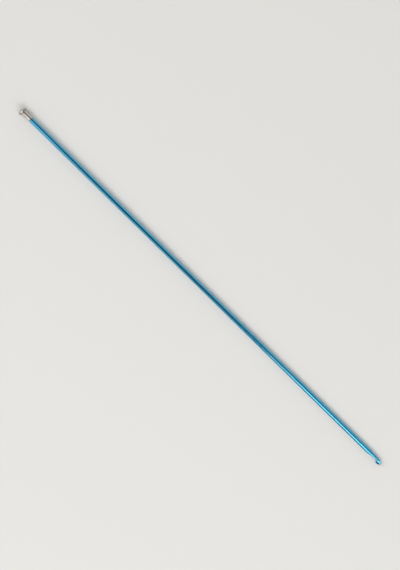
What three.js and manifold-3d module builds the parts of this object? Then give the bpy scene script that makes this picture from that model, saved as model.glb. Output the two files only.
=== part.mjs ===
// Tunisian crochet hook: one straight anodised rod with the hook pressed into its end,
// and a plated stopper of two sheet metal pieces on the other end.
// Millimetres, +Z up, +X from the stopper to the hook, and the notch opens towards -Y.
// The tool lies flat: the rim of the stopper touches z = 0.

import * as THREE from 'three';
import { mergeVertices, toCreasedNormals } from 'three/addons/utils/BufferGeometryUtils.js';
import Module from 'manifold-3d';

const wasm = await Module();
wasm.setup();
const { degToRad, lerp, smoothstep } = THREE.MathUtils;

// Rod
const overallLength = 356; // from the dome of the stopper to the tip of the hook
const shaftDiameter = 3.75; // the gauge size that the tool is sold by
const sides = 24; // flats round each turned or drawn piece

// Hook, measured back from its tip
const taperLength = 14; // where the throat begins to narrow
const notchSetback = 3.95; // wall of the notch
const noseLength = 2.6; // round front of the head
const lipReach = 0.63; // lip beyond the surface of the rod
const notchDepth = 1.7; // from the lip down to the floor of the notch
const notchRadius = 0.6; // fillet between the floor and the wall
const lipRound = 0.25; // edge of the lip
const backDrop = 0.45; // back of the rod drawn in at the notch
const throatWidth = 2.84; // across the throat at the notch
const headHeight = 3.55; // from the lip to the back of the head
const headWidth = 3.36; // across the head
const throatSquareness = 3; // 2 is an ellipse, more is squarer

// Sleeve of the stopper
const jointFromDome = 10; // open end of the sleeve, from the top of the dome
const sleeveSheet = 0.32;
const sleeveStep = 0.03; // sleeve below the surface of the rod
const flangeBend = 0.35; // radius where the tube turns out into the flange
const sleeveEdge = 0.08; // broken edge of the open end

// Tenon under the sleeve
const tenonShort = 0.3; // end of the tenon, inside the straight part of the bore
const tenonClearance = 0.02; // all round, in the bore of the sleeve
const tenonChamfer = 0.25;
const jointGap = 0.1; // between the sleeve and the shoulder of the rod
const shoulderChamfer = 0.2;

// Dents that stake the sleeve to the tenon
const stakeFromFlange = 3.5;
const stakeBall = 0.7; // radius of the punch
const stakeDepth = 0.16;
const stakeAngles = [45, 135, 225, 315].map(degToRad);

// Button of the stopper
const stopOverhang = 1.85; // rim beyond the sleeve
const buttonSheet = 0.35;
const domeRadius = 4.7;
const landRadius = 0.9; // small flat at the middle of the dome
const rollClearance = 0.04; // between the flange and the rim rolled round it
const curlWidth = 0.55; // flat back of the rolled rim
const curlEdge = 0.1; // cut edge of the sheet

// Worked out from the sizes above
const shaftRadius = shaftDiameter / 2;
const sleeveRadius = shaftRadius - sleeveStep;
const boreRadius = sleeveRadius - sleeveSheet;
const tenonRadius = boreRadius - tenonClearance;
const buttonRadius = sleeveRadius + stopOverhang;
const rollInner = sleeveSheet / 2 + rollClearance;
const rollOuter = rollInner + buttonSheet;
const rollCentreRadius = buttonRadius - rollOuter;
const domeCentre = Math.sqrt(domeRadius ** 2 - landRadius ** 2);
const rollCentre = domeCentre - Math.sqrt((domeRadius - rollOuter) ** 2 - rollCentreRadius ** 2);
const rollStart = Math.asin(rollCentreRadius / (domeRadius - rollOuter));
const bendCentre = rollCentre + sleeveSheet / 2 + flangeBend;
const stakeAlong = rollCentre + sleeveSheet / 2 + stakeFromFlange;
const stakeCentre = sleeveRadius - stakeDepth + stakeBall;
const tipStart = overallLength - taperLength;

const steps = { dome: 5, roll: 4, edge: 4, bend: 4, taper: 6, notch: 3, lip: 2, nose: 5 };
const ballSides = 16;
const halfTurn = Math.PI;
const quarterTurn = Math.PI / 2;

// A profile point: distance along the axis from the dome, and radius
function at(along, radius) {
  return new THREE.Vector2(radius, along);
}

// Points round a centre; the angle is 0 away from the axis and a quarter turn towards the hook
function arc(along, radius, size, from, to, count) {
  return Array.from({ length: count + 1 }, (_, i) => {
    const angle = lerp(from, to, i / count);
    return at(along + size * Math.sin(angle), radius + size * Math.cos(angle));
  });
}

// Turns a profile into a solid along +X, with flats at the top, bottom and sides
function turned(profile) {
  const outerFlats = 1 / Math.cos(Math.PI / sides);
  const points = profile.map((point) => new THREE.Vector2(point.x * outerFlats, point.y));
  const geometry = new THREE.LatheGeometry(points, sides, Math.PI / sides);
  return geometry.rotateZ(-quarterTurn);
}

function toSolid(geometry) {
  const bare = geometry.clone();
  bare.deleteAttribute('normal');
  bare.deleteAttribute('uv');
  const merged = mergeVertices(bare, 1e-4);
  const corners = merged.index.array;
  const triangles = [];
  for (let i = 0; i < corners.length; i += 3) {
    const [a, b, c] = corners.slice(i, i + 3);
    if (a !== b && b !== c && c !== a) triangles.push(a, b, c);
  }
  const mesh = new wasm.Mesh({
    numProp: 3,
    vertProperties: new Float32Array(merged.attributes.position.array),
    triVerts: new Uint32Array(triangles),
  });
  return new wasm.Manifold(mesh);
}

function toGeometry(solid) {
  const mesh = solid.getMesh();
  const geometry = new THREE.BufferGeometry();
  geometry.setAttribute('position', new THREE.BufferAttribute(mesh.vertProperties, 3));
  geometry.setIndex(new THREE.BufferAttribute(mesh.triVerts, 1));
  return geometry;
}

// The balls that punch the four dents, or shape what lies under them
function stakeBalls(radius) {
  return stakeAngles.map((angle) => {
    const ball = new THREE.SphereGeometry(radius, ballSides, ballSides / 2);
    ball.rotateX(angle);
    ball.translate(stakeAlong, stakeCentre * Math.cos(angle), stakeCentre * Math.sin(angle));
    return toSolid(ball);
  });
}

// Cross-sections of the hook from the shaft to the tip. Each has a point on the side of the
// lip and one on the back, as a distance from the tip and a height off the axis of the rod.
function hookSections() {
  const lip = shaftRadius + lipReach;
  const floor = lip - notchDepth;
  const floorEnd = notchSetback + notchRadius;
  const neckBack = shaftRadius - backDrop;
  const headBack = headHeight - lip;
  const sections = [];

  for (let i = 0; i < steps.taper; i++) {
    const along = lerp(taperLength, floorEnd, i / steps.taper);
    const ease = smoothstep(i / steps.taper, 0, 1);
    sections.push({
      lip: [along, -lerp(shaftRadius, floor, ease)],
      back: [along, lerp(shaftRadius, neckBack, ease)],
      width: lerp(shaftDiameter, throatWidth, ease),
      squareness: lerp(2, throatSquareness, ease),
    });
  }

  const notch = arc(floorEnd, floor + notchRadius, notchRadius, -halfTurn, -quarterTurn, steps.notch);
  const edge = arc(notchSetback - lipRound, lip - lipRound, lipRound, quarterTurn, 0, steps.lip);
  const underside = [...notch, ...edge, at(noseLength, lip)];
  underside.forEach((point, i) => {
    const share = i / (underside.length - 1);
    const ease = smoothstep(share, 0, 1);
    sections.push({
      lip: [point.y, -point.x],
      back: [lerp(floorEnd, noseLength, share), lerp(neckBack, headBack, ease)],
      width: lerp(throatWidth, headWidth, ease),
      squareness: lerp(throatSquareness, 2, share),
    });
  });

  for (let i = 1; i <= steps.nose; i++) {
    const angle = (quarterTurn * i) / steps.nose;
    const along = noseLength * (1 - Math.sin(angle));
    const middle = headHeight / 2 - lip;
    sections.push({
      lip: [along, middle - (headHeight / 2) * Math.cos(angle)],
      back: [along, middle + (headHeight / 2) * Math.cos(angle)],
      width: headWidth * Math.cos(angle),
      squareness: 2,
    });
  }
  return sections;
}

// Moves one corner of a round section to its place on the pressed hook
function pressCorner(section, across, up) {
  const power = across < 0 ? 2 / section.squareness : 1;
  const side = Math.sign(across) * Math.abs(across) ** power;
  const height = Math.sign(up) * Math.abs(up) ** power;
  const share = (side + 1) / 2;
  const along = lerp(section.lip[0], section.back[0], share);
  const outward = lerp(section.lip[1], section.back[1], share);
  return [overallLength - along, outward, (height * section.width) / 2];
}

// The straight rod, turned down to a tenon that fills the sleeve
function hookShaft() {
  const shoulder = jointFromDome + jointGap;
  const tenonStart = bendCentre + tenonShort;
  const rod = turned([
    at(tenonStart, 0),
    at(tenonStart, tenonRadius - tenonChamfer),
    at(tenonStart + tenonChamfer, tenonRadius),
    at(shoulder, tenonRadius),
    at(shoulder, shaftRadius - shoulderChamfer),
    at(shoulder + shoulderChamfer, shaftRadius),
    at(tipStart, shaftRadius),
    at(tipStart, 0),
  ]);
  const under = stakeBalls(stakeBall + sleeveSheet + tenonClearance);
  return toGeometry(under.reduce((left, ball) => left.subtract(ball), toSolid(rod)));
}

// The pressed end of the same rod, from where it begins to narrow to the tip of the hook.
// It meets the straight rod face to face.
function hookTip() {
  const sections = hookSections();
  const blank = sections.map((section) => at(overallLength - section.back[0], 1));
  const profile = [at(tipStart, 0), ...blank];
  const geometry = turned(profile);
  const position = geometry.attributes.position;
  for (let i = 0; i < position.count; i++) {
    const ring = (i % profile.length) - 1;
    if (ring < 0) continue;
    position.setXYZ(i, ...pressCorner(sections[ring], position.getY(i), position.getZ(i)));
  }
  return geometry;
}

// A tube flared at one end to a flat flange, with four dents punched through its wall
function stopperSleeve() {
  const half = sleeveSheet / 2;
  const bendRadius = sleeveRadius + flangeBend;
  const tube = turned([
    ...arc(bendCentre, bendRadius, flangeBend + sleeveSheet, -halfTurn, -quarterTurn, steps.bend),
    ...arc(rollCentre, rollCentreRadius, half, -quarterTurn, quarterTurn, steps.edge),
    ...arc(bendCentre, bendRadius, flangeBend, -quarterTurn, -halfTurn, steps.bend),
    at(jointFromDome - sleeveEdge, sleeveRadius),
    at(jointFromDome, sleeveRadius - sleeveEdge),
    at(jointFromDome, boreRadius),
    at(bendCentre, boreRadius),
  ]);
  const plugRadius = boreRadius + half;
  const plug = toSolid(turned([
    at(bendCentre, 0),
    at(bendCentre, plugRadius),
    at(jointFromDome, plugRadius),
    at(jointFromDome, 0),
  ]));
  const bulges = stakeBalls(stakeBall + sleeveSheet).map((ball) => ball.intersect(plug));
  const raised = bulges.reduce((sleeve, bulge) => sleeve.add(bulge), toSolid(tube));
  return toGeometry(stakeBalls(stakeBall).reduce((sleeve, ball) => sleeve.subtract(ball), raised));
}

// The rolled rim in section, from the edge of the dome out and round to its flat back
function rimRoll(size) {
  return [
    ...arc(rollCentre, rollCentreRadius, size, rollStart - quarterTurn, 0, steps.roll),
    ...arc(rollCentre, rollCentreRadius, size, 0, quarterTurn, steps.roll).slice(1),
  ];
}

// A domed cap whose rim is rolled back round the flange of the sleeve
function stopperButton() {
  const curlInner = rollCentreRadius - curlWidth;
  const back = rollCentre + rollOuter;
  const landEnd = Math.asin(landRadius / domeRadius) - quarterTurn;
  const dome = (size, from) => arc(domeCentre, 0, size, from, rollStart - quarterTurn, steps.dome);
  return turned([
    at(0, 0),
    ...dome(domeRadius, landEnd).slice(0, -1),
    ...rimRoll(rollOuter),
    at(back, curlInner + curlEdge),
    at(back - curlEdge, curlInner),
    at(rollCentre + rollInner, curlInner),
    ...rimRoll(rollInner).reverse(),
    ...dome(domeRadius - buttonSheet, -quarterTurn).slice(1, -1).reverse(),
    at(domeCentre - domeRadius + buttonSheet, 0),
  ]);
}

function piece(name, geometry, color, metalness, roughness) {
  const material = new THREE.MeshStandardMaterial({ color, metalness, roughness });
  const mesh = new THREE.Mesh(toCreasedNormals(geometry, Math.PI / 5), material);
  mesh.name = name;
  return mesh;
}

const anodisedBlue = 0x2c93b8;
const nickel = 0xb9b4a8;

const group = new THREE.Group();
group.name = 'tunisian_crochet_hook';
group.position.set(-overallLength / 2, 0, buttonRadius);
group.add(
  piece('hook_shaft', hookShaft(), anodisedBlue, 0.9, 0.3),
  piece('hook_tip', hookTip(), anodisedBlue, 0.9, 0.3),
  piece('stopper_sleeve', stopperSleeve(), nickel, 1, 0.25),
  piece('stopper_button', stopperButton(), nickel, 1, 0.2),
);

export default group;
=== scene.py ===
# Tunisian crochet hook: a blue anodised rod with the hook pressed into one end, and a plated
# stopper on the other. +X runs from the stopper to the hook, +Z is up and the notch of the hook
# opens towards -Y. The scene is in metres. Lengths in the dictionaries of the pieces are in
# millimetres, and distances along the tool start at the top of the stopper's dome.

import math

import bmesh
import bpy
from mathutils import Matrix, Vector


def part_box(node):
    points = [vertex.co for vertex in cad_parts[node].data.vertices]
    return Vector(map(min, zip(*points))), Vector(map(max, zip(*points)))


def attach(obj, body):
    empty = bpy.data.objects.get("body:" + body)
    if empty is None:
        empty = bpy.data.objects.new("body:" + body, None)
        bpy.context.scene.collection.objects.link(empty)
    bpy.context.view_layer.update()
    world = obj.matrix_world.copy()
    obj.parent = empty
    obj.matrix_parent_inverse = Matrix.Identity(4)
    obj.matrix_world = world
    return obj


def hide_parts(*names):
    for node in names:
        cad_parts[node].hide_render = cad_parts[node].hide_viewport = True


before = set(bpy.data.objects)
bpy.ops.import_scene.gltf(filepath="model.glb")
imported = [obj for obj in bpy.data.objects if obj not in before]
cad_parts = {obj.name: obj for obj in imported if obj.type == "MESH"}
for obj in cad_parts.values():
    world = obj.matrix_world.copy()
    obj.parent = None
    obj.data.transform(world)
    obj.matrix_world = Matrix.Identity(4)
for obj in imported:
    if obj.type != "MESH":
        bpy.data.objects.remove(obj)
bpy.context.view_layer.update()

mm = 0.001
quarterTurn = math.pi / 2
crispAngle = math.radians(38)    # faces that meet at more than this keep a crisp edge
scene = bpy.context.scene

buttonLow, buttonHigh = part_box("stopper_button")
sleeveLow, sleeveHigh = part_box("stopper_sleeve")
shaftLow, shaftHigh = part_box("hook_shaft")
tipLow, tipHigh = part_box("hook_tip")

domeAt = buttonLow.x
axisHeight = (buttonLow.z + buttonHigh.z) / 2
toolLength = (tipHigh.x - buttonLow.x) / mm
shaftRadius = (shaftHigh.z - shaftLow.z) / 2 / mm
sleeveRadius = shaftRadius - 0.03                     # the sleeve lies just below the rod
buttonRadius = (buttonHigh.z - buttonLow.z) / 2 / mm
jointAt = (sleeveHigh.x - domeAt) / mm                # open end of the sleeve
print("frame:", len(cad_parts), "nodes,", round(toolLength, 2), "mm long")


# Helpers for shapes

def mix(a, b, share):
    return a + (b - a) * share


def ease(share):
    share = min(1.0, max(0.0, share))
    return share * share * (3 - 2 * share)


def inFrame(along, y, z):
    return Vector((domeAt + along * mm, y * mm, axisHeight + z * mm))


def arc(along, radius, size, start, end, count):
    # the angle is 0 away from the axis and a quarter turn towards the hook
    angles = [mix(start, end, i / count) for i in range(count + 1)]
    return [(along + size * math.sin(a), radius + size * math.cos(a)) for a in angles]


def spread(start, end, count):
    # points between two profile points, both left out
    return [tuple(mix(a, b, i / count) for a, b in zip(start, end)) for i in range(1, count)]


def joinRings(mesh, first, second):
    # faces between two rings of corners; a ring of one corner is a point
    count = max(len(first), len(second))
    for i in range(count):
        j = (i + 1) % count
        if len(first) == 1:
            mesh.faces.new((first[0], second[i], second[j]))
        elif len(second) == 1:
            mesh.faces.new((first[i], first[j], second[0]))
        else:
            mesh.faces.new((first[i], first[j], second[j], second[i]))


def skin(name, rings, wear, recessShade, ringLoop=False, startCap=False):
    # one closed surface; wear goes with each corner and painted shade for recesses with each ring
    mesh = bmesh.new()
    wearLayer = mesh.verts.layers.float.new("wear")
    recessShadeLayer = mesh.verts.layers.float.new("recessShade")
    made = []
    for ring, rubbed, shadeAmount in zip(rings, wear, recessShade):
        corners = []
        for place, amount in zip(ring, rubbed):
            corner = mesh.verts.new(place)
            corner[wearLayer] = amount
            corner[recessShadeLayer] = shadeAmount
            corners.append(corner)
        made.append(corners)
    for first, second in zip(made, made[1:]):
        joinRings(mesh, first, second)
    if ringLoop:
        joinRings(mesh, made[-1], made[0])
    if startCap:
        mesh.faces.new(made[0])
    bmesh.ops.recalc_face_normals(mesh, faces=mesh.faces)
    data = bpy.data.meshes.new(name)
    mesh.to_mesh(data)
    mesh.free()
    data.shade_smooth()
    data.set_sharp_from_angle(angle=crispAngle)
    piece = bpy.data.objects.new(name, data)
    scene.collection.objects.link(piece)
    return piece


# Stake dents, which hold the sleeve on the rod's tenon

stakes = {
    "at": 5.565,
    "angles": (45, 135, 225, 315),
    "ball": 0.7,                 # radius of the punch
    "depth": 0.16,
    "rim": 0.012,                # metal raised round each dent
    "rimAt": 1.12,               # where it is highest, in radii of the dent
    "rimWidth": 0.2,
    "reach": 1.1,                # no mark farther along the tool than this
    "wear": 2.2,                 # for each millimetre pressed in
}


def dented(along, radius, angle, below):
    # radius of a wall that lies this far below the surface of the sleeve, with its four dents
    ball = stakes["ball"] + below
    edge = math.sqrt(stakes["ball"] ** 2 - (stakes["ball"] - stakes["depth"]) ** 2)
    rimAt, rimWidth = edge * stakes["rimAt"], edge * stakes["rimWidth"]
    pressed = 0.0
    for degrees in stakes["angles"]:
        turn = (angle - math.radians(degrees) + math.pi) % (2 * math.pi) - math.pi
        away = math.hypot(along - stakes["at"], radius * math.sin(turn))
        if math.cos(turn) < 0 or away > ball:
            continue
        sag = ball - math.sqrt(ball * ball - away * away)
        pressed = max(pressed, stakes["depth"] - sag)
        if pressed <= 0:
            pressed = -stakes["rim"] * math.exp(-((away - rimAt) / rimWidth) ** 2)
    return radius - pressed


# Blue rod, turned down at the stopper and pressed into a hook at the other end

rodShape = {
    "sides": 96,
    "tenonStart": (shaftLow.x - domeAt) / mm,
    "tenonRadius": 1.505,
    "tenonChamfer": 0.25,
    "dentStart": 0.9,            # first ring under the stake dents, from the start of the tenon
    "dentStep": 0.1,
    "dentRings": 40,
    "jointGap": 0.1,             # between the sleeve and the shoulder
    "shoulderChamfer": 0.2,
    "plainStart": 0.6,           # first ring of the plain rod, from the shoulder
    "plainRings": 48,
    "taperLength": (tipHigh.x - tipLow.x) / mm,
    "taperRings": 48,
    "taperPace": 1.6,            # above 1, the rings lie closer together near the notch
    "notchSetback": 3.95,        # wall of the notch, from the tip
    "notchDepth": 1.7,
    "notchRadius": 0.6,
    "lipHeight": -tipLow.y / mm,
    "lipRound": 0.25,
    "backDrop": 0.45,            # how far the back is drawn in at the notch
    "throatWidth": 2.84,
    "squareness": 3.1,           # of the section at the floor of the notch; 2 is an ellipse
    "headHeight": 3.55,
    "headWidth": 3.36,
    "headSquareness": 2.1,
    "headPace": 1.6,             # above 1, it gains its width nearer the tip
    "headCrest": 0.5,            # its widest line, off the axis towards the back
    "headThinning": 0.68,        # how much thinner it gets towards the lip
    "noseLength": 2.6,
    "noseRings": 22,
    "noseFullness": 0.82,        # below 1, the nose stays wide for longer
    "softening": 80,             # passes that even out the sides and the back of the hook
    "firmEnd": 17,               # rings at the tip over which that fades out
}


def taperSections():
    # the rod thins towards the throat of the hook
    shape = rodShape
    notchFloor = shape["lipHeight"] - shape["notchDepth"]
    taperEnd = shape["notchSetback"] + shape["notchRadius"]
    neckBack = shaftRadius - shape["backDrop"]
    sections = []
    for i in range(shape["taperRings"]):
        pace = 1 - (1 - i / shape["taperRings"]) ** shape["taperPace"]
        along = mix(shape["taperLength"], taperEnd, pace)
        share = ease(pace)
        sections.append({
            "lip": (along, -mix(shaftRadius, notchFloor, share)),
            "back": (along, mix(shaftRadius, neckBack, share)),
            "width": mix(2 * shaftRadius, shape["throatWidth"], share),
            "squareness": mix(2, shape["squareness"], share),
            "crest": 0.5,
            "thinning": 0,
            "wear": 0.12 * share,
        })
    return sections


def notchSections():
    # floor of the notch, its wall, the lip and the side of the head
    shape = rodShape
    lip, corner, edge = shape["lipHeight"], shape["notchRadius"], shape["lipRound"]
    notchFloor = lip - shape["notchDepth"]
    taperEnd = shape["notchSetback"] + corner
    neckBack = shaftRadius - shape["backDrop"]
    headBack = shape["headHeight"] - lip
    throatCrest = (neckBack - notchFloor) / 2
    notch = arc(taperEnd, notchFloor + corner, corner, -math.pi, -quarterTurn, 14)
    rounded = arc(shape["notchSetback"] - edge, lip - edge, edge, quarterTurn, 0, 10)
    wall = spread(notch[-1], rounded[0], 6)
    noseStart = (shape["noseLength"], lip)
    side = spread(rounded[-1], noseStart, 10) + [noseStart]

    # each stretch with the share of the change from throat to head at its end, and its wear
    stretches = ((notch, 0.43, 0.3), (wall, 0.57, 0.3), (rounded, 0.8, 0.5), (side, 1.0, 0.3))
    sections = []
    share = 0.0
    for points, shareEnd, wear in stretches:
        for i, (along, height) in enumerate(points):
            turned = mix(share, shareEnd, (i + 1) / len(points))
            paced = turned ** shape["headPace"]
            back = mix(neckBack, headBack, ease(turned))
            crest = mix(throatCrest, shape["headCrest"], ease(turned))
            sections.append({
                "lip": (along, -height),
                "back": (mix(taperEnd, shape["noseLength"], turned), back),
                "width": mix(shape["throatWidth"], shape["headWidth"], ease(paced)),
                "squareness": mix(shape["squareness"], shape["headSquareness"], ease(turned)),
                "crest": (crest + height) / (back + height),
                "thinning": shape["headThinning"] * ease(turned),
                "wear": wear,
            })
        share = shareEnd
    return sections


def noseSections():
    # the head rounds off to the tip
    shape = rodShape
    lip = shape["lipHeight"]
    headShare = (shape["headCrest"] + lip) / shape["headHeight"]
    sections = []
    for i in range(1, shape["noseRings"] + 1):
        share = ease(i / shape["noseRings"])
        angle = quarterTurn * i / shape["noseRings"]
        along = shape["noseLength"] * (1 - math.sin(angle))
        middle = shape["headHeight"] / 2 - lip
        half = shape["headHeight"] / 2 * math.cos(angle)
        sections.append({
            "lip": (along, middle - half),
            "back": (along, middle + half),
            "width": shape["headWidth"] * math.cos(angle) ** shape["noseFullness"],
            "squareness": mix(shape["headSquareness"], 2, share),
            "crest": mix(headShare, 0.5, share),
            "thinning": shape["headThinning"] * (1 - share),
            "wear": mix(0.3, 0.6, share),
        })
    return sections


def pressedRing(section, angles):
    # lip and back are distances from the tip and from the axis; the crest is the widest line
    ring = []
    for angle in angles:
        across, up = math.cos(angle), math.sin(angle)
        power = 2 / section["squareness"] if across < 0 else 1
        side = math.copysign(abs(across) ** power, across)
        height = math.copysign(abs(up) ** power, up)
        if side < 0:
            height *= 1 - section["thinning"] * side * side
            share = section["crest"] * (1 + side)
        else:
            share = mix(section["crest"], 1, side)
        along = toolLength - mix(section["lip"][0], section["back"][0], share)
        outward = mix(section["lip"][1], section["back"][1], share)
        ring.append(inFrame(along, outward, height * section["width"] / 2))
    return ring


def softened(rings, angles):
    # evens out each line of corners along the tool, but not on the side of the lip
    lipEdge, lipFade = -0.85, 0.75     # cosine at which it starts, and how far until it is full
    shares = [0.5 * ease((math.cos(angle) - lipEdge) / lipFade) for angle in angles]
    fades = [ease((len(rings) - 3 - i) / rodShape["firmEnd"]) for i in range(len(rings) - 2)]
    for _ in range(rodShape["softening"]):
        middle = [[place.lerp((before[j] + after[j]) / 2, shares[j] * fade)
                   for j, place in enumerate(ring)]
                  for before, ring, after, fade in zip(rings, rings[1:], rings[2:], fades)]
        rings = [rings[0]] + middle + [rings[-1]]
    return rings


def turnedProfile(dents):
    # chamfered tenon, shoulder with a broken edge, then the plain rod; each ring is a distance,
    # a radius, its wear and its painted shade
    shape = rodShape
    start, tenon, end = shape["tenonStart"], shape["tenonRadius"], shape["tenonChamfer"]
    chamfer = shape["shoulderChamfer"]
    shoulder = jointAt + shape["jointGap"]
    plainEnd = toolLength - shape["taperLength"] - shoulder
    count = shape["plainRings"]

    turned = [(start, tenon - end, 0, 0.2), (start + end, tenon, 0, 0.2)]
    turned += [(along, tenon, 0, 0.4) for along in dents]
    # the shoulder and its chamfer carry painted shade, a dark ring at the joint with the sleeve
    turned += [(shoulder, tenon, 0, 1), (shoulder, shaftRadius - chamfer, 0, 1)]
    turned += [(shoulder + chamfer * s, shaftRadius - chamfer * (1 - s), 0.1, 1 - 0.15 * s)
               for s in (0.12, 0.5, 0.86)]
    turned += [(shoulder + chamfer * 1.2, shaftRadius, 0.1, 0.9),
               (shoulder + chamfer * 1.7, shaftRadius, 0.25, 0.15)]
    turned += [(shoulder + mix(shape["plainStart"], plainEnd, i / count), shaftRadius, 0, 0)
               for i in range(count)]
    return turned


def makeRod():
    shape = rodShape
    sides = shape["sides"]
    angles = [2 * math.pi * i / sides for i in range(sides)]
    dents = [shape["tenonStart"] + shape["dentStart"] + shape["dentStep"] * i
             for i in range(shape["dentRings"])]
    belowSleeve = sleeveRadius - shape["tenonRadius"]

    rings, wear, recessShade = [], [], []
    for along, radius, rubbed, shadeAmount in turnedProfile(dents):
        ring = []
        for angle in angles:
            r = dented(along, radius, angle, belowSleeve) if along in dents else radius
            ring.append(inFrame(along, r * math.cos(angle), r * math.sin(angle)))
        rings.append(ring)
        wear.append([rubbed] * sides)
        recessShade.append(shadeAmount)

    sections = taperSections() + notchSections() + noseSections()
    rings += softened([pressedRing(section, angles) for section in sections], angles)
    for section in sections:
        wear.append([section["wear"] * (0.5 - 0.5 * math.cos(a)) for a in angles])
        recessShade.append(0)
    rings[-1] = [sum(rings[-1], Vector()) / sides]             # the tip is one point
    wear[-1] = [sections[-1]["wear"]]
    return skin("rod", rings, wear, recessShade, startCap=True)


rod = makeRod()
print("rod:", len(rod.data.vertices), "vertices")


# Stopper: a sleeve with its outer end flared to a flange, and a domed button rolled round that

sleeveShape = {
    "sides": 144,
    "sheet": 0.32,
    "flangeBend": 0.35,
    "edge": 0.08,                # broken edge of the open end
    "boreChamfer": 0.06,
    "dentStep": 0.06,            # between rings at the stake dents
    "dentRings": 15,             # on each side of their middle
}

buttonShape = {
    "sides": 160,
    "sheet": 0.35,
    "domeRadius": 4.7,
    "landRadius": 0.9,           # small flat at the middle of the dome
    "rollClearance": 0.04,       # between the flange and the rim rolled round it
    "curlWidth": 0.55,           # flat back of the rolled rim
    "curlEdge": 0.1,
}

rollInner = sleeveShape["sheet"] / 2 + buttonShape["rollClearance"]
rollOuter = rollInner + buttonShape["sheet"]
rollRadius = buttonRadius - rollOuter                 # centre of the roll, off the axis
domeCentre = math.sqrt(buttonShape["domeRadius"] ** 2 - buttonShape["landRadius"] ** 2)
rollAt = domeCentre - math.sqrt((buttonShape["domeRadius"] - rollOuter) ** 2 - rollRadius ** 2)


def marked(points, rubbed, shadeAmount=0.0):
    # wear and painted shade added to the points of a profile
    return [(along, radius, rubbed, shadeAmount) for along, radius in points]


def turnedRings(profile, sides, wallBelow=None):
    # wallBelow tells how far a wall lies below the surface that the stakes were punched into
    rings, wear, recessShade = [], [], []
    for along, radius, rubbed, shadeAmount in profile:
        recessShade.append(shadeAmount)
        if radius < 1e-6:
            rings.append([inFrame(along, 0, 0)])
            wear.append([rubbed])
            continue
        ring, amounts = [], []
        for i in range(sides):
            angle = 2 * math.pi * i / sides
            r = radius
            if wallBelow is not None and abs(along - stakes["at"]) < stakes["reach"]:
                r = dented(along, radius, angle, wallBelow(radius))
            ring.append(inFrame(along, r * math.cos(angle), r * math.sin(angle)))
            amounts.append(rubbed + stakes["wear"] * abs(r - radius))
        rings.append(ring)
        wear.append(amounts)
    return rings, wear, recessShade


def makeSleeve():
    shape = sleeveShape
    sheet, bend, edge = shape["sheet"], shape["flangeBend"], shape["edge"]
    bore, chamfer = sleeveRadius - sheet, shape["boreChamfer"]
    bendAt, bendRadius = rollAt + sheet / 2 + bend, sleeveRadius + bend
    reach = shape["dentRings"]
    dents = [stakes["at"] + shape["dentStep"] * i for i in range(-reach, reach + 1)]
    mouth = arc(jointAt - edge, sleeveRadius - edge, edge, 0, quarterTurn, 5)

    profile = marked(arc(bendAt, bendRadius, bend + sheet, -math.pi, -quarterTurn, 12), 0.1)
    # painted shade in the roll round the flange, inside the bend, at the mouth and in the bore
    profile += marked(arc(rollAt, rollRadius, sheet / 2, -quarterTurn, quarterTurn, 8), 0.1, 0.6)
    profile += marked(arc(bendAt, bendRadius, bend, -quarterTurn, -math.pi, 14), 0.1, 0.35)
    profile += marked([(along, sleeveRadius) for along in dents], 0)
    profile += marked([(mix(dents[-1], jointAt - edge, s), sleeveRadius)
                       for s in (0.3, 0.6, 0.96)], 0)
    profile += marked(mouth[:3], 0.2, 0.5) + marked(mouth[3:], 0.1, 1.0)
    profile += marked([(jointAt, bore + chamfer), (jointAt - chamfer, bore)], 0.2, 1.0)
    profile += marked([(along, bore) for along in reversed(dents)], 0)
    marks = turnedRings(profile, shape["sides"], lambda radius: sleeveRadius - radius)
    return skin("stopperSleeve", *marks, ringLoop=True)


def makeButton():
    shape = buttonShape
    sheet, dome, clear = shape["sheet"], shape["domeRadius"], shape["curlEdge"]
    land = shape["landRadius"]
    curlInner = rollRadius - shape["curlWidth"]
    back = rollAt + rollOuter
    rollStart = math.asin(rollRadius / (dome - rollOuter)) - quarterTurn
    landEnd = math.asin(land / dome) - quarterTurn

    def roll(size):
        return (arc(rollAt, rollRadius, size, rollStart, 0, 12)
                + arc(rollAt, rollRadius, size, 0, quarterTurn, 12)[1:])

    outer = arc(domeCentre, 0, dome, landEnd, rollStart, 22)
    inner = arc(domeCentre, 0, dome - sheet, -quarterTurn, rollStart, 12)
    profile = marked([(0, 0), (0, land * 0.5), (0, land * 0.93)], 0.35)
    profile += marked(outer[1:-1], 0.12)
    profile += marked(roll(rollOuter), 0.35)
    # painted shade under the rolled rim and inside it
    profile += marked([(back, mix(rollRadius, curlInner, s)) for s in (0.35, 0.7)], 0.2, 0.1)
    profile += marked([(back, curlInner + clear), (back - clear * 0.3, curlInner + clear * 0.3)],
                      0.3, 0.6)
    profile += marked([(back - clear, curlInner), (rollAt + rollInner, curlInner)], 0.1, 1.0)
    profile += marked(reversed(roll(rollInner)), 0, 0.5)
    profile += marked(reversed(inner[1:-1]), 0)
    profile += marked([(domeCentre - dome + sheet, 0)], 0)
    return skin("stopperButton", *turnedRings(profile, shape["sides"]))


stopperSleeve = makeSleeve()
stopperButton = makeButton()
print("stopper:", len(stopperSleeve.data.vertices) + len(stopperButton.data.vertices), "vertices")


# Helpers for finishes and for the sky; tree is the node tree that they add to

def startMaterial(name):
    material = bpy.data.materials.new(name)
    material.use_nodes = True
    return material, material.node_tree, material.node_tree.nodes["Principled BSDF"]


def grain(tree, marks, detail=2.0, roughness=0.5):
    # noise that stays with the piece; marks tells how many there are in a metre each way
    place = tree.nodes.new("ShaderNodeTexCoord")
    mapping = tree.nodes.new("ShaderNodeMapping")
    mapping.inputs["Scale"].default_value = marks
    tree.links.new(place.outputs["Object"], mapping.inputs["Vector"])
    texture = tree.nodes.new("ShaderNodeTexNoise")
    for key, value in (("Scale", 1.0), ("Detail", detail), ("Roughness", roughness)):
        texture.inputs[key].default_value = value
    tree.links.new(mapping.outputs["Vector"], texture.inputs["Vector"])
    return texture.outputs["Fac"]


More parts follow.
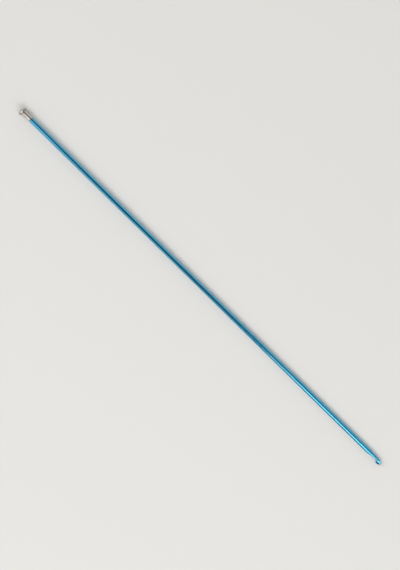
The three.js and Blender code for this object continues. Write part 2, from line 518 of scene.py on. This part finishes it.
def ranged(tree, source, start, end):
    # start and end are each a pair of values: what comes in, and what it turns into
    node = tree.nodes.new("ShaderNodeMapRange")
    for key, value in (("From Min", start[0]), ("From Max", end[0]),
                       ("To Min", start[1]), ("To Max", end[1])):
        node.inputs[key].default_value = value
    tree.links.new(source, node.inputs["Value"])
    return node.outputs["Result"]


def maths(tree, operation, first, second=0):
    node = tree.nodes.new("ShaderNodeMath")
    node.operation = operation
    for socket, value in zip(node.inputs, (first, second)):
        if isinstance(value, (int, float)):
            socket.default_value = value
        else:
            tree.links.new(value, socket)
    return node.outputs["Value"]


def times(tree, first, second):
    return maths(tree, "MULTIPLY", first, second)


def bell(tree, source, middle, width):
    # 1 at the middle, falling off smoothly on both sides
    away = maths(tree, "DIVIDE", maths(tree, "SUBTRACT", source, middle), width)
    return maths(tree, "EXPONENT", times(tree, times(tree, away, away), -1.0))


def blendColours(tree, share, first, second):
    firstSocket, secondSocket, colourOut = 6, 7, 2     # those of a Mix node set to colours
    node = tree.nodes.new("ShaderNodeMix")
    node.data_type = "RGBA"
    tree.links.new(share, node.inputs["Factor"])
    for index, value in ((firstSocket, first), (secondSocket, second)):
        if isinstance(value, tuple):
            node.inputs[index].default_value = (*value, 1)
        else:
            tree.links.new(value, node.inputs[index])
    return node.outputs[colourOut]


def pieceMark(tree, name):
    # a number that the mesh carries at each corner
    mark = tree.nodes.new("ShaderNodeAttribute")
    mark.attribute_name = name
    return mark.outputs["Fac"]


def bumps(tree, height, look, under=None):
    # the look is a depth in metres and a strength
    node = tree.nodes.new("ShaderNodeBump")
    node.inputs["Distance"].default_value, node.inputs["Strength"].default_value = look
    tree.links.new(height, node.inputs["Height"])
    if under is not None:
        tree.links.new(under, node.inputs["Normal"])
    return node.outputs["Normal"]


def wornAndShadedColour(tree, tone, bare, scuffs, shadeAmount):
    # bare metal where the piece is rubbed, then painted shade in the joints and recesses
    tone = blendColours(tree, times(tree, pieceMark(tree, "wear"), scuffs), tone, bare)
    return blendColours(tree, times(tree, pieceMark(tree, "recessShade"), shadeAmount), tone, recessShadeColour)


def turnGloss(tree, shader, amount, turn=0.0):
    # draws the gloss out about lines that run round the tool
    tangent = tree.nodes.new("ShaderNodeTangent")
    tangent.direction_type = "RADIAL"
    tangent.axis = "X"
    tree.links.new(tangent.outputs["Tangent"], shader.inputs["Tangent"])
    shader.inputs["Anisotropic"].default_value = amount
    shader.inputs["Anisotropic Rotation"].default_value = turn


# Finishes

recessShadeColour = (0.028, 0.028, 0.03)   # colour of the painted shade in joints and recesses

anodised = {
    "blue": (0.016, 0.38, 0.61),
    "deepBlue": (0.009, 0.31, 0.55),
    "paleBlue": (0.045, 0.445, 0.66),
    "bareMetal": (0.74, 0.77, 0.79),
    "lines": (45, 5200, 5200),   # marks in a metre, along and across the rod
    "drift": (28, 260, 260),
    "pits": (3600, 3600, 3600),
    "scuffs": (900, 2600, 2600),
    "roughness": (0.09, 0.16),
    "lineBump": (0.000012, 0.22),
    "pitBump": (0.000006, 0.25),
    "stretch": 0.2,
    "coatIndex": 1.7,            # the clear sealed layer over the dye
    "coatRoughness": 0.06,
}


def anodisedBlue():
    look = anodised
    material, tree, shader = startMaterial("anodisedBlue")
    lines = grain(tree, look["lines"], 3.0, 0.6)
    drift = grain(tree, look["drift"])
    pits = grain(tree, look["pits"], 1.0)
    scuffs = grain(tree, look["scuffs"], 3.0, 0.7)

    tone = blendColours(tree, ranged(tree, drift, (0.3, 0), (0.7, 1)),
                        look["deepBlue"], look["blue"])
    tone = blendColours(tree, ranged(tree, lines, (0.45, 0), (0.8, 0.5)), tone, look["paleBlue"])
    # bare metal where rubbed, then painted shade in the joints, broken up by the pits
    tone = wornAndShadedColour(tree, tone, look["bareMetal"],
                      ranged(tree, scuffs, (0.48, 0.03), (0.74, 0.7)),
                      ranged(tree, pits, (0.3, 0.75), (0.6, 0.95)))
    tree.links.new(tone, shader.inputs["Base Color"])

    low, high = look["roughness"]
    rough = maths(tree, "ADD", ranged(tree, lines, (0.3, low), (0.75, high)),
                  ranged(tree, pits, (0.35, 0), (0.75, 0.05)))
    dulled = ranged(tree, pieceMark(tree, "wear"), (0.1, 0), (0.5, 0.12))
    tree.links.new(maths(tree, "ADD", rough, dulled), shader.inputs["Roughness"])
    grooves = bumps(tree, lines, look["lineBump"])
    tree.links.new(bumps(tree, pits, look["pitBump"], grooves), shader.inputs["Normal"])

    turnGloss(tree, shader, look["stretch"])
    shader.inputs["Metallic"].default_value = 1.0
    shader.inputs["Coat Weight"].default_value = 1.0
    shader.inputs["Coat IOR"].default_value = look["coatIndex"]
    shader.inputs["Coat Roughness"].default_value = look["coatRoughness"]
    return material


sleeveNickel = {
    "bright": (0.63, 0.605, 0.56),
    "dull": (0.50, 0.475, 0.43),
    "rubbed": (0.74, 0.72, 0.69),
    "roughness": (0.05, 0.12),
    "lines": (160, 4200, 4200),  # polishing lines in a metre, along and across the tool
    "clouds": (520, 520, 520),
    "specks": (5200, 5200, 5200),
    "lineBump": (0.000006, 0.3),
    "speckBump": (0.000004, 0.2),
    "stretch": 0.1,
    "turn": 0.0,
}

buttonNickel = {
    **sleeveNickel,
    "bright": (0.56, 0.53, 0.485),
    "dull": (0.43, 0.405, 0.365),
    "rubbed": (0.70, 0.68, 0.65),
    "lines": (4200, 900, 900),
    "turn": 0.25,                # of a full turn
}


def nickelPlate(name, look):
    material, tree, shader = startMaterial(name)
    lines = grain(tree, look["lines"], 3.0, 0.6)
    clouds = grain(tree, look["clouds"], 3.0)
    specks = grain(tree, look["specks"], 1.0)

    tone = blendColours(tree, ranged(tree, clouds, (0.38, 0), (0.66, 1)),
                        look["bright"], look["dull"])
    # rubbed metal, then painted shade in the joints and recesses, broken up by the clouds
    tone = wornAndShadedColour(tree, tone, look["rubbed"],
                      ranged(tree, specks, (0.35, 0.4), (0.7, 1.0)),
                      ranged(tree, clouds, (0.35, 0.65), (0.65, 0.95)))
    tree.links.new(tone, shader.inputs["Base Color"])

    low, high = look["roughness"]
    rough = maths(tree, "ADD", ranged(tree, lines, (0.3, low), (0.75, high)),
                  ranged(tree, clouds, (0.4, 0), (0.75, 0.08)))
    tree.links.new(rough, shader.inputs["Roughness"])
    polish = bumps(tree, lines, look["lineBump"])
    tree.links.new(bumps(tree, specks, look["speckBump"], polish), shader.inputs["Normal"])

    turnGloss(tree, shader, look["stretch"], look["turn"])
    shader.inputs["Metallic"].default_value = 1.0
    return material


rod.data.materials.append(anodisedBlue())
stopperSleeve.data.materials.append(nickelPlate("nickelSleeve", sleeveNickel))
stopperButton.data.materials.append(nickelPlate("nickelButton", buttonNickel))
print("finishes:", ", ".join(m.name for m in bpy.data.materials))

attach(rod, "root")
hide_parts("hook_shaft", "hook_tip")
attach(stopperSleeve, "root")
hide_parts("stopper_sleeve")
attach(stopperButton, "root")
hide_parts("stopper_button")


# Floor: the tool rests on the rim of its stopper and on its rod, so the floor slopes a little

floorLook = {
    "size": 6.0,                 # metres
    "colour": (0.71, 0.71, 0.70),
    "roughness": 0.6,
    "gloss": 0.2,
    "rimRestsAt": domeAt + rollAt * mm,
    "rodRestsAt": tipLow.x,
}


def makeFloor():
    look = floorLook
    slope = shaftLow.z / (look["rodRestsAt"] - look["rimRestsAt"])
    half = look["size"] / 2
    mesh = bmesh.new()
    corners = [mesh.verts.new((x, y, slope * (x - look["rimRestsAt"])))
               for x, y in ((-half, -half), (half, -half), (half, half), (-half, half))]
    mesh.faces.new(corners)
    data = bpy.data.meshes.new("floor")
    mesh.to_mesh(data)
    mesh.free()
    material, _, shader = startMaterial("paleFloor")
    shader.inputs["Base Color"].default_value = (*look["colour"], 1)
    shader.inputs["Roughness"].default_value = look["roughness"]
    shader.inputs["Specular IOR Level"].default_value = look["gloss"]
    data.materials.append(material)
    plane = bpy.data.objects.new("floor", data)
    scene.collection.objects.link(plane)
    return plane


floor = makeFloor()


# Light: a soft grey sky that is darkest straight overhead, and two softboxes on the -Y side

# places in the sky are the X, Y and Z of a direction, and each fade starts at its first number
# and is full at its second
sky = {
    "colour": (1.0, 0.995, 0.985),
    "tones": ((0.0, 0.60), (0.55, 0.93), (1.0, 0.91)),   # from straight overhead to level

    "overheadDark": 0.585,       # taken off over the middle of the tool
    "overheadMiddle": (-0.05, -0.17),
    "overheadWidth": (0.17, 0.64),
    "overheadSquarings": (2, 4),                         # more of them make a crisper edge
    "overheadLean": 25.0,        # how fast its ends turn towards +Y
    "overheadFade": (0, 0.3),    # in Z

    "endTone": 2.1,              # added over both ends, but not low down
    "endMiddle": -0.14,
    "endWidth": 0.28,
    "endFade": (0.25, 0.55),     # in X, either way
    "endFadeUp": (0.25, 0.5),    # in Z
    "lowTone": 0.6,              # taken off low down at both ends
    "lowFade": (0.78, 0.93),
    "lowFadeDown": (0.36, 0.2),

    "farTone": 0.66,             # taken off beside both ends, in a band on the +Y side
    "farMiddle": 0.34,
    "farWidth": 0.26,
    "nearTone": 0.45,            # and on the -Y side
    "nearFade": (-0.1, -0.5),
    "besideFade": (0.15, 0.28),
    "leastTone": 0.3,            # the ends are never darker than this
    "leastFade": (0.2, 0.4),

    "leanTones": (-0.10, 0.24),  # taken off the +Y side, at the stopper and at the hook
    "leanAlong": (-0.16, 0.16),
    "leanFade": (0.25, 0.6),

    "screenTone": 0.66,          # taken off low on the -Y side, towards the hook
    "screenAt": 0.13,
    "screenWidth": 0.13,
    "screenFade": (-0.66, -0.82),
}


def faded(tree, source, fade, amount=1):
    # nothing where the fade starts, and the full amount where it ends
    return ranged(tree, source, (fade[0], 0), (fade[1], amount))


def skyRamp(tree, z):
    fromOverhead = ranged(tree, maths(tree, "ARCCOSINE", z), (0, 0), (quarterTurn, 1))
    ramp = tree.nodes.new("ShaderNodeValToRGB")
    ramp.color_ramp.interpolation = "EASE"
    while len(ramp.color_ramp.elements) < len(sky["tones"]):
        ramp.color_ramp.elements.new(0.5)
    for element, (position, tone) in zip(ramp.color_ramp.elements, sky["tones"]):
        element.position = position
        element.color = (tone, tone, tone, 1)
    tree.links.new(fromOverhead, ramp.inputs["Fac"])
    return ramp.outputs["Color"]


def overheadPatch(tree, x, y, z):
    # darker, soft along the tool and crisper across it
    bend = times(tree, times(tree, x, x), sky["overheadLean"])
    leaned = maths(tree, "SUBTRACT", y, bend)
    away = 0
    for place, middle, width, squarings in zip((x, leaned), sky["overheadMiddle"],
                                               sky["overheadWidth"], sky["overheadSquarings"]):
        edge = maths(tree, "DIVIDE", maths(tree, "SUBTRACT", place, middle), width)
        for _ in range(squarings):
            edge = times(tree, edge, edge)
        away = maths(tree, "ADD", away, edge)
    patch = maths(tree, "EXPONENT", times(tree, away, -1.0))
    return times(tree, patch, faded(tree, z, sky["overheadFade"], sky["overheadDark"]))


def brighterEnds(tree, along, y, z):
    added = times(tree, bell(tree, y, sky["endMiddle"], sky["endWidth"]),
                  faded(tree, along, sky["endFade"], sky["endTone"]))
    return times(tree, added, faded(tree, z, sky["endFadeUp"]))


def lowEnds(tree, along, z):
    return times(tree, faded(tree, along, sky["lowFade"], sky["lowTone"]),
                 faded(tree, z, sky["lowFadeDown"]))


def besideEnds(tree, along, y):
    band = times(tree, bell(tree, y, sky["farMiddle"], sky["farWidth"]), sky["farTone"])
    both = maths(tree, "ADD", band, faded(tree, y, sky["nearFade"], sky["nearTone"]))
    return times(tree, both, faded(tree, along, sky["besideFade"]))


def farLean(tree, x, y):
    atStopper, atHook = zip(sky["leanAlong"], sky["leanTones"])
    return times(tree, ranged(tree, x, atStopper, atHook), faded(tree, y, sky["leanFade"]))


def nearScreen(tree, x, y):
    return times(tree, bell(tree, x, sky["screenAt"], sky["screenWidth"]),
                 faded(tree, y, sky["screenFade"], sky["screenTone"]))


def makeSky():
    world = bpy.data.worlds.new("studioSky")
    scene.world = world
    world.use_nodes = True
    tree = world.node_tree
    background = tree.nodes["Background"]
    background.inputs["Color"].default_value = (*sky["colour"], 1)
    place = tree.nodes.new("ShaderNodeTexCoord")
    direction = tree.nodes.new("ShaderNodeSeparateXYZ")
    tree.links.new(place.outputs["Generated"], direction.inputs["Vector"])
    x, y, z = (direction.outputs[key] for key in "XYZ")
    along = maths(tree, "ABSOLUTE", x)

    tone = maths(tree, "SUBTRACT", skyRamp(tree, z), overheadPatch(tree, x, y, z))
    tone = maths(tree, "ADD", tone, brighterEnds(tree, along, y, z))
    tone = maths(tree, "SUBTRACT", tone, lowEnds(tree, along, z))
    tone = maths(tree, "SUBTRACT", tone, besideEnds(tree, along, y))
    tone = maths(tree, "MAXIMUM", tone, faded(tree, along, sky["leastFade"], sky["leastTone"]))
    tone = maths(tree, "SUBTRACT", tone, farLean(tree, x, y))
    tone = maths(tree, "SUBTRACT", tone, nearScreen(tree, x, y))
    tree.links.new(tone, background.inputs["Strength"])


softboxes = {                    # metres and watts
    "hookSide": {"at": (0.52, -0.84, 1.14), "aim": (0.15, 0.0, 0.0), "size": (0.75, 0.45),
                 "watts": 5.5, "colour": (1.0, 0.92, 0.84)},
    "stopperSide": {"at": (-0.73, -0.80, 1.04), "aim": (-0.15, 0.0, 0.0), "size": (0.9, 0.9),
                    "watts": 2.4, "colour": (1.0, 1.0, 1.0)},
}


def makeSoftbox(name, box):
    lamp = bpy.data.lights.new(name, "AREA")
    lamp.shape = "RECTANGLE"
    lamp.size, lamp.size_y = box["size"]
    lamp.energy = box["watts"]
    lamp.color = box["colour"]
    holder = bpy.data.objects.new(name, lamp)
    back = (Vector(box["at"]) - Vector(box["aim"])).normalized()
    side = (Vector((1, 0, 0)) - back * back.x).normalized()    # as near to +X as the aim allows
    holder.matrix_world = Matrix((side, back.cross(side), back)).transposed().to_4x4()
    holder.location = box["at"]
    holder.visible_camera = False
    scene.collection.objects.link(holder)


makeSky()
for softboxName, softbox in softboxes.items():
    makeSoftbox(softboxName, softbox)
print("light:", len(softboxes), "softboxes and a sky")


# Camera straight above, turned so that the tool lies from upper left to lower right

cameraSet = {
    "distance": 1.2,             # metres above the axis of the rod
    "lens": 107.53,
    "sensor": 36,
    "clip": (0.01, 20),          # metres
    "turn": 44.47,               # degrees
    "aside": (-1.33, 0.25),      # millimetres from the middle of the tool
}

camera = bpy.data.objects.new("camera", bpy.data.cameras.new("camera"))
camera.data.lens = cameraSet["lens"]
camera.data.sensor_width = cameraSet["sensor"]
camera.data.clip_start, camera.data.clip_end = cameraSet["clip"]
camera.location = (domeAt + toolLength / 2 * mm + cameraSet["aside"][0] * mm,
                   cameraSet["aside"][1] * mm, axisHeight + cameraSet["distance"])
camera.rotation_euler = (0, 0, math.radians(cameraSet["turn"]))
scene.collection.objects.link(camera)
scene.camera = camera

scene.view_settings.view_transform = "Standard"
